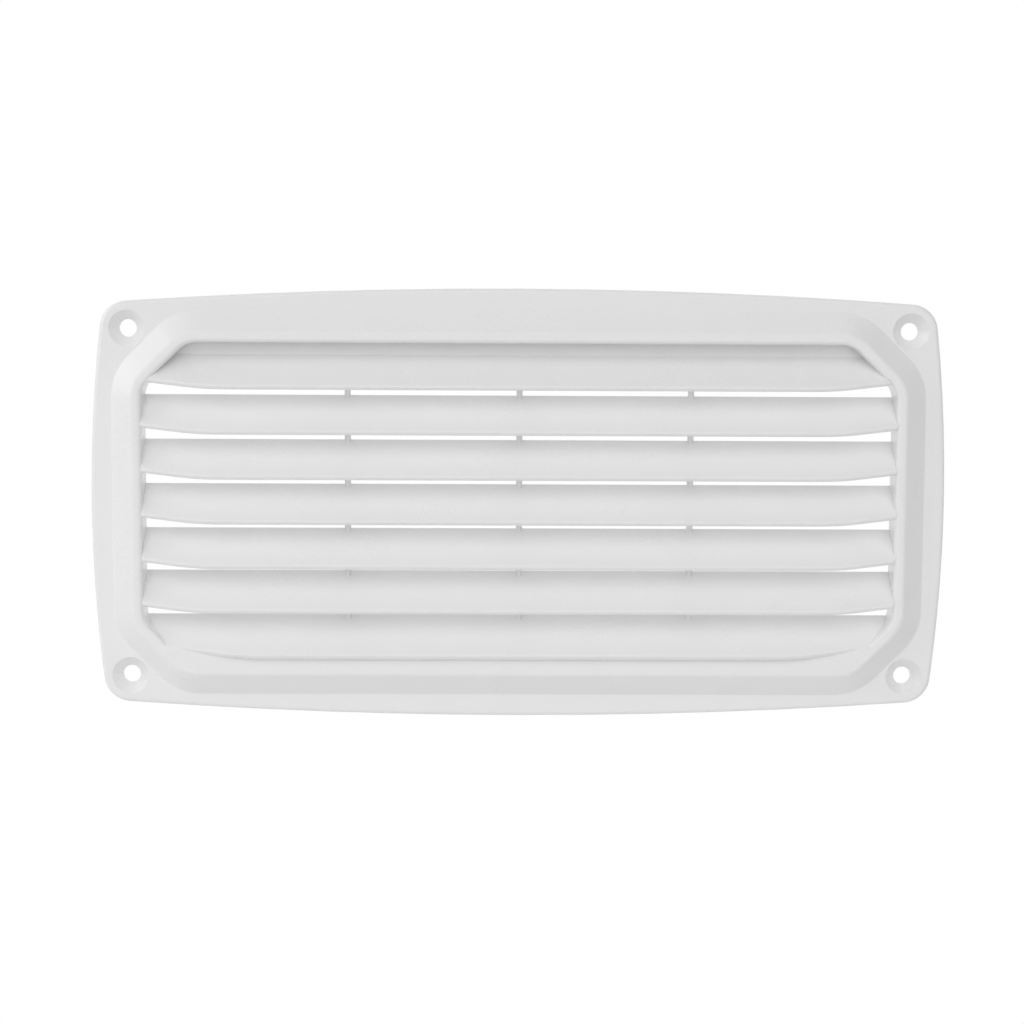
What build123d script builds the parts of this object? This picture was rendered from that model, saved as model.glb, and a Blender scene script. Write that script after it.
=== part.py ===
"""A one-piece moulded louvred vent grille.

The front faces -Y, +Z is up, and the back of the flange lies on the mounting plane y = 0.
The origin is the centre of the screw pattern. Depths are measured forward from that plane.
"""
import os
from math import cos, radians, sin, sqrt, tan

from build123d import *

# Flange: a flat plate round the bezel, whose four sides bow outwards between rounded corners.
flange_side_width = 5.0
flange_top_width = 5.2
plate_side_bow = 3.1
plate_top_bow = 3.6
plate_corner_radius = 6.5
flange_thickness = 3.0
rim_radius = 1.0

# Screw holes: one countersunk hole in each corner of the flange, set in from its sides.
hole_inset_x = 8.8
hole_inset_z = 9.6
hole_diameter = 4.1
countersink_diameter = 8.6
countersink_angle = 90.0

# Opening: a rectangle with its corners cut at 45 degrees and its bends rounded.
# Outlines round it share the centres of its bends.
opening_width = 176.0
opening_height = 75.6
opening_corner = 10.5
bend_radius = 6.0
opening_edge_radius = 1.0

# Bezel: the raised frame round the opening, hollow behind, with a flat crest and sloping outer sides.
crest_depth = 7.3
crest_width = 2.3
crest_edge_radius = 1.3
slope_width = 5.2
slope_foot_radius = 0.5
bezel_wall = 2.4
inner_wall = 1.8

# Louvres: flat blades that slope down to the front, with lips that fall back towards the crest at their ends.
louvre_count = 7
louvre_angle = 42.5
louvre_thickness = 1.4
lowest_louvre_thickness = 1.75
lip_depth = 9.3
lip_radius = 0.5
lip_rise = 2.7
lip_ramp_length = 13.1
lip_ramp_blend = 55.0
lip_end_proud = 0.4
lowest_lip_inset = 3.3
louvre_back_chamfer = 0.5
sharp_backed_louvres = 2
louvre_tuck = 0.15

# Back of the opening: a web that closes it above the first louvre, and upright ribs.
web_height = 2.3
web_thickness = 1.5
rib_count = 3
rib_spacing = 40.4
rib_thickness = 1.4
rib_depth = 1.4
rib_edge_chamfer = 0.4

# Sizes and places that follow from those.
bezel_margin = crest_width + slope_width
slope_run = slope_width / (crest_depth - flange_thickness)
hollow_margin = bezel_margin + (flange_thickness - bezel_wall) * slope_run
plate_width = opening_width + 2 * (bezel_margin + flange_side_width)
plate_height = opening_height + 2 * (bezel_margin + flange_top_width)
hole_spacing_x = plate_width - 2 * hole_inset_x
hole_spacing_z = plate_height - 2 * hole_inset_z
louvre_pitch = (opening_height - web_height) / louvre_count
louvre_slope = radians(louvre_angle)
blade_core = louvre_thickness / cos(louvre_slope) / 2
lowest_lip = lip_rise - opening_height / 2
highest_lip = lowest_lip + (louvre_count - 1) * louvre_pitch
lip_end_drop = (lip_depth - crest_depth - lip_end_proud) / cos(louvre_slope)
sill_height = lowest_lip + (lip_depth - crest_depth) * tan(louvre_slope) - blade_core
back_height = lowest_lip + lip_depth * tan(louvre_slope) - blade_core
web_foot = highest_lip + (lip_depth - web_thickness) * tan(louvre_slope) - blade_core


def opening_outline(depth, margin=0.0, floor=None):
    """The opening at a depth from the mounting plane, grown evenly by a margin and cut off below a floor."""
    width = opening_width + 2 * margin
    height = opening_height + 2 * margin
    with BuildSketch(Plane.XZ.offset(depth)) as outline:
        Rectangle(width, height)
        chamfer(outline.vertices(), length=opening_corner + margin * (2 - sqrt(2)))
        fillet(outline.vertices(), radius=bend_radius + margin)
        if floor is not None:
            with Locations((0, floor)):
                Rectangle(width, height, align=(Align.CENTER, Align.MAX), mode=Mode.SUBTRACT)
    return outline.sketch


def half_width_of_opening(height):
    """Half the width of the opening at a height, which is less beside its cut corners."""
    return min(opening_width / 2, opening_width / 2 + opening_height / 2 - opening_corner - abs(height))


def louvre_blade(reach, thickness):
    """One blade lying flat: its upper face is on XY and the middle of its lip is along X at y = 0."""
    ramp_start = reach - lip_ramp_length
    tip = opening_width / 2 + inner_wall
    tip_back = (tip - ramp_start) * lip_end_drop / lip_ramp_length
    blade_run = (lip_depth + louvre_thickness) / cos(louvre_slope)
    with BuildPart() as blade:
        with BuildSketch() as plan:
            with BuildLine():
                Polyline(
                    (-tip, tip_back), (-ramp_start, 0), (ramp_start, 0), (tip, tip_back),
                    (tip, blade_run), (-tip, blade_run), close=True,
                )
            make_face()
            fillet(plan.vertices().group_by(Axis.Y)[0], radius=lip_ramp_blend)
        extrude(amount=-thickness)
        lip_edges = blade.edges().filter_by(Axis.Z, reverse=True).filter_by_position(Axis.Y, -1, tip_back)
        fillet(lip_edges, radius=lip_radius)
    return blade.part


# Louvre stack: the blades, trimmed to the opening and to the mounting plane.
with BuildPart() as louvres:
    for row in range(louvre_count):
        lip_height = lowest_lip + row * louvre_pitch
        lip_plane = Plane(
            origin=(0, -lip_depth, lip_height),
            x_dir=(1, 0, 0),
            z_dir=(0, -sin(louvre_slope), cos(louvre_slope)),
        )
        reach = half_width_of_opening(lip_height + lip_end_drop * sin(louvre_slope))
        with Locations(lip_plane):
            if row:
                add(louvre_blade(reach, louvre_thickness))
            else:
                add(louvre_blade(reach - lowest_lip_inset, lowest_louvre_thickness))
    extrude(opening_outline(0, louvre_tuck), amount=2 * lip_depth, mode=Mode.INTERSECT)
    back_edges = louvres.edges().filter_by(Axis.X).group_by(Axis.Y)[-1].sort_by(Axis.Z)
    upper_back_edges = back_edges[1::2]
    chamfer(upper_back_edges[sharp_backed_louvres:], length=louvre_back_chamfer)

# Sill: behind the crest the lowest blade runs into the frame, so that its ends are flush with the crest.
with BuildPart() as sill:
    with BuildSketch(Plane.YZ):
        with BuildLine():
            Polyline(
                (-crest_depth, sill_height + blade_core), (0, back_height + blade_core),
                (0, back_height - blade_core), (-crest_depth, sill_height - blade_core), close=True,
            )
        make_face()
    extrude(amount=opening_width / 2, both=True)
    extrude(opening_outline(0, inner_wall), amount=crest_depth, mode=Mode.INTERSECT)

# Ribs: upright bars with bevelled front edges that tie the blades together at their backs.
with BuildPart() as ribs:
    with BuildSketch(Plane.XZ):
        with GridLocations(rib_spacing, opening_height, rib_count, 1):
            Rectangle(rib_thickness, opening_height + inner_wall)
    extrude(amount=rib_depth)
    chamfer(ribs.edges().filter_by(Axis.Z).group_by(Axis.Y)[0], length=rib_edge_chamfer)

# Grille: the flange and its bezel, with the louvres, the web and the ribs across the opening.
with BuildPart() as grille:
    corner_x = plate_width / 2 - plate_side_bow
    corner_z = plate_height / 2 - plate_top_bow
    with BuildSketch(Plane.XZ) as plate:
        with BuildLine():
            ThreePointArc((-corner_x, corner_z), (0, plate_height / 2), (corner_x, corner_z))
            ThreePointArc((corner_x, corner_z), (plate_width / 2, 0), (corner_x, -corner_z))
            ThreePointArc((corner_x, -corner_z), (0, -plate_height / 2), (-corner_x, -corner_z))
            ThreePointArc((-corner_x, -corner_z), (-plate_width / 2, 0), (-corner_x, corner_z))
        make_face()
        fillet(plate.vertices(), radius=plate_corner_radius)
    extrude(amount=flange_thickness)
    fillet(grille.faces().sort_by(Axis.Y)[0].edges(), radius=rim_radius)
    loft([
        opening_outline(flange_thickness, bezel_margin),
        opening_outline(crest_depth, crest_width),
    ], ruled=True)
    flange_front = grille.faces().filter_by(Plane.XZ).group_by(Axis.Y)[1]
    fillet(flange_front[0].inner_wires()[0].edges(), radius=slope_foot_radius)
    loft([
        opening_outline(0, hollow_margin),
        opening_outline(crest_depth - bezel_wall, crest_width),
    ], ruled=True, mode=Mode.SUBTRACT)
    extrude(opening_outline(0, inner_wall), amount=crest_depth - bezel_wall)
    extrude(opening_outline(0), amount=crest_depth - bezel_wall, mode=Mode.SUBTRACT)
    extrude(opening_outline(0, floor=sill_height), amount=crest_depth, mode=Mode.SUBTRACT)

    crest = grille.faces().sort_by(Axis.Y)[0]
    fillet(crest.outer_wire().edges(), radius=crest_edge_radius)
    crest = grille.faces().sort_by(Axis.Y)[0]
    fillet(crest.inner_wires()[0].edges().sort_by(Axis.Z)[1:], radius=opening_edge_radius)

    with Locations(Plane.XZ.offset(flange_thickness)):
        with GridLocations(hole_spacing_x, hole_spacing_z, 2, 2):
            CounterSinkHole(hole_diameter / 2, countersink_diameter / 2, counter_sink_angle=countersink_angle)

    extrude(opening_outline(0, louvre_tuck, floor=web_foot), amount=web_thickness)
    add(sill.part)
    add(ribs.part)
    add(louvres.part)

grille.part.label = "vent_grille"
os.makedirs("parts", exist_ok=True)
export_step(grille.part, "parts/vent_grille.step")
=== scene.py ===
# %% [markdown]
# # A louvred vent grille, dressed from its CAD frame
#
# The grille is one plastic moulding. Its whole shape comes from CAD, so this lesson is about the other half
# of a believable picture: a moulded finish, a soft studio, and a camera that looks from the right place.
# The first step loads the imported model. Everything after it is in metres and in the model's own frame:
# the front faces -Y, +Z is up, and the back of the flange lies on the plane y = 0.

# %% Load the frame
from math import cos, radians, sin

import bpy
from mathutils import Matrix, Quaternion, Vector


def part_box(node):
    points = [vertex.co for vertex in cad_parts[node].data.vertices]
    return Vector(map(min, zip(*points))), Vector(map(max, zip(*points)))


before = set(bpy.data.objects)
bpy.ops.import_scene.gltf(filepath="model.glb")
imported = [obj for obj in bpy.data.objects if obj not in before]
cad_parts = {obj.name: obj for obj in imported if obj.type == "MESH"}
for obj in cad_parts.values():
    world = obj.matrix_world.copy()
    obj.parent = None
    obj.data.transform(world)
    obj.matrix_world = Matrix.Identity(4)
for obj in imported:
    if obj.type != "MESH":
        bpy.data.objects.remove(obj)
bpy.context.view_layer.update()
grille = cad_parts["vent_grille"]
lowest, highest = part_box("vent_grille")
print("grille:", [round(size * 1000, 2) for size in highest - lowest], "mm")
print("grille:", len(grille.data.polygons), "faces")

# %% [markdown]
# ## Wires that can be added and multiplied
#
# A shader is easier to read as sums than as a pile of boxes and noodles. The small class below wraps one
# socket. When two wires, or a wire and a number, are added, subtracted or multiplied, it puts a Math node in
# the tree. Its `node` method makes any other kind of node: settings come first, then the values or wires of
# its sockets.

# %% A wire
class Wire:
    """One output socket of a shader, which can stand in a sum."""

    def __init__(self, socket):
        self.socket = socket
        self.tree = socket.id_data

    def node(self, kind, settings=None, sockets=None, output=0):
        made = self.tree.nodes.new(kind)
        for name, value in (settings or {}).items():
            setattr(made, name, value)
        for name, value in (sockets or {}).items():
            if isinstance(value, Wire):
                self.tree.links.new(value.socket, self.find(made.inputs, name))
            else:
                self.find(made.inputs, name).default_value = value
        return Wire(self.find(made.outputs, output))

    def find(self, sockets, name):
        """A socket by its number or name. A Mix node repeats its names, and one of each is switched on."""
        if isinstance(name, int):
            return sockets[name]
        return next(socket for socket in sockets if socket.name == name and socket.enabled)

    def sum(self, operation, first, second):
        return self.node("ShaderNodeMath", {"operation": operation}, {0: first, 1: second})

    def __add__(self, other):
        return self.sum("ADD", self, other)

    __radd__ = __add__

    def __sub__(self, other):
        return self.sum("SUBTRACT", self, other)

    def __rsub__(self, other):
        return self.sum("SUBTRACT", other, self)

    def __mul__(self, other):
        return self.sum("MULTIPLY", self, other)

    __rmul__ = __mul__


print("wires:", [name for name in ("node", "sum") if hasattr(Wire, name)])

# %% [markdown]
# ## White moulded plastic
#
# The real plastic is a plain white with a satin skin. A single flat grey would look like paper, because a
# moulding has three small unevennesses: a very fine grain from the mould's steel, a faint clouding where the
# melt cooled at different speeds, and a gloss that wanders a little over a few centimetres. Each is a noise
# texture at its own scale. They read Object coordinates, which are metres here, so a scale of 4000 means
# grains a quarter of a millimetre across.

# %% Noise at a real size
def noise(start, place, size, detail, output="Fac"):
    """A noise whose features are about as large as the given size in metres."""
    return start.node("ShaderNodeTexNoise", {"noise_dimensions": "3D"},
                      {"Vector": place, "Scale": 1 / size, "Detail": detail, "Roughness": 0.5}, output)


plastic = bpy.data.materials.new("white_moulded_plastic")
plastic.use_nodes = True
skin = plastic.node_tree.nodes["Principled BSDF"]
start = Wire(skin.outputs["BSDF"])
place = start.node("ShaderNodeTexCoord", output="Object")
grain = noise(start, place, 0.00025, 2)
clouding = noise(start, place, 0.006, 3)
wander = noise(start, place, 0.045, 2)
print("plastic: three noises on", plastic.name)

# %% [markdown]
# ## Colour, gloss and grain
#
# The clouding is so faint that the eye reads it only as a softness: the two whites lie two hundredths apart.
# The gloss is satin, so that the rounded edges carry a thin light line and the flat faces stay even. The
# grain is a bump of a few thousandths of a millimetre, too fine to see as shape.

# %% Colour, gloss and grain
white = (0.86, 0.86, 0.86, 1)
clouded_white = (0.84, 0.84, 0.84, 1)
tone = 0.6 * clouding + 0.4 * wander
colour = start.node("ShaderNodeMix", {"data_type": "RGBA"},
                    {"Factor": tone, "A": white, "B": clouded_white}, "Result")
gloss = 0.21 + 0.10 * wander + 0.03 * grain
bumps = start.node("ShaderNodeBump", None,
                   {"Strength": 0.04, "Distance": 0.00004, "Height": grain}, "Normal")
for name, wire in (("Base Color", colour), ("Roughness", gloss), ("Normal", bumps)):
    plastic.node_tree.links.new(wire.socket, skin.inputs[name])
skin.inputs["IOR"].default_value = 1.5
grille.data.materials.clear()
grille.data.materials.append(plastic)
print("plastic:", len(plastic.node_tree.nodes), "nodes on", grille.name)

# %% [markdown]
# ## A studio of soft light
#
# The grille is lit as in a light tent: a soft sheet of light hangs before it, a wide one stands behind it,
# and the roof glows a little. The front sheet's height matters most. From 25 degrees up, each lip throws a
# soft shadow on the back of the louvre below, and the top of the bezel comes out as bright as the flange.
# In a world shader the Generated coordinate is the direction that a ray leaves in, so each light is a short
# sum, and a power narrows the front one. To the camera, and in reflections, the tent is plain white, and the
# Light Path node tells those rays from the ones that light the plastic.

# %% The tent
tent = bpy.data.worlds.new("light_tent")
tent.use_nodes = True
bpy.context.scene.world = tent
tent_light = tent.node_tree.nodes["Background"]
tent_light.inputs["Color"].default_value = (1, 1, 1, 1)
ray = Wire(tent_light.outputs["Background"])
direction = ray.node("ShaderNodeTexCoord", output="Generated")
depth = ray.node("ShaderNodeSeparateXYZ", None, {"Vector": direction}, "Y")
height = ray.node("ShaderNodeSeparateXYZ", None, {"Vector": direction}, "Z")
sheet_raise = radians(25)
facing = ray.sum("MAXIMUM", sin(sheet_raise) * height - cos(sheet_raise) * depth, 0)
front_sheet = ray.sum("POWER", facing, 6)
back_sheet = ray.sum("MAXIMUM", depth, 0)
overhead = ray.sum("MAXIMUM", height, 0)
tent_strength = 2.3 * front_sheet + 1.29 * back_sheet + 0.25 * overhead
seen = sum((ray.node("ShaderNodeLightPath", output=kind) for kind in
            ("Is Camera Ray", "Is Glossy Ray", "Is Transmission Ray")), start=0)
strength = ray.node("ShaderNodeMix", {"data_type": "FLOAT", "clamp_factor": True},
                    {"Factor": seen, "A": tent_strength, "B": 1.0}, "Result")
tent.node_tree.links.new(strength.socket, tent_light.inputs["Strength"])
print("tent:", len(tent.node_tree.nodes), "nodes")

# %% [markdown]
# ## The lamp
#
# The tent alone would leave the left and right sides of the bezel alike. One broad lamp stands on the left,
# above the middle, and gives the bezel its bright and its shaded side.

# %% The lamp on the left
def soft_lamp(name, spot, width, watts):
    bpy.ops.object.light_add(type="AREA", location=spot)
    lamp = bpy.context.object
    lamp.name = name
    lamp.data.size = width
    lamp.data.energy = watts
    lamp.rotation_euler = Vector(spot).to_track_quat("Z", "Y").to_euler()
    print(name, "at", spot, watts, "W")
    return lamp


soft_lamp("left_lamp", (-1.12, -0.31, 0.42), 0.8, 4.0)

# %% [markdown]
# ## The floor
#
# A grille hangs on a wall, so the floor lies some way below it. It still catches the shadow. It is nearly
# white, because the light that it throws back up is what keeps the lower side of the bezel from going dark.

# %% A plain pale floor
bpy.ops.object.select_all(action="DESELECT")
bpy.ops.mesh.primitive_plane_add(size=1, location=(0, 0, 0))
floor = bpy.context.object
floor.name = "floor"
floor_drop = 0.35
floor.scale = (1.8, 1.5, 1)
floor.location = (0, -0.43, -floor_drop)
bpy.ops.object.transform_apply(location=True, rotation=True, scale=True)
pale = bpy.data.materials.new("pale_floor")
pale.use_nodes = True
pale.node_tree.nodes["Principled BSDF"].inputs["Base Color"].default_value = (0.95, 0.95, 0.95, 1)
pale.node_tree.nodes["Principled BSDF"].inputs["Roughness"].default_value = 0.8
floor.data.materials.append(pale)
print("floor:", floor_drop, "m below the screw pattern's centre")

# %% [markdown]
# ## The camera
#
# The photograph looks almost straight at the front, from about half a metre away, a little above the middle
# and a hair to the left, so the underside of each louvre is hidden and a thin slit of light shows over its
# back edge.

# %% The camera
look_at = Vector((-0.001637, 0, -0.002123))
camera_distance = 0.5
azimuth, elevation, roll = radians(-0.901), radians(5.459), radians(0.290)
towards_camera = Vector((sin(azimuth) * cos(elevation), -cos(azimuth) * cos(elevation), sin(elevation)))
camera_data = bpy.data.cameras.new("camera")
camera = bpy.data.objects.new("camera", camera_data)
bpy.context.scene.collection.objects.link(camera)
camera_data.sensor_width = 36
camera_data.lens = 74.19
camera_data.clip_start = 0.01
camera.location = look_at + camera_distance * towards_camera
camera.rotation_mode = "QUATERNION"
camera.rotation_quaternion = towards_camera.to_track_quat("Z", "Y") @ Quaternion((0, 0, 1), roll)
bpy.context.scene.camera = camera
bpy.context.scene.view_settings.view_transform = "Standard"
print("camera:", [round(value, 4) for value in camera.location])
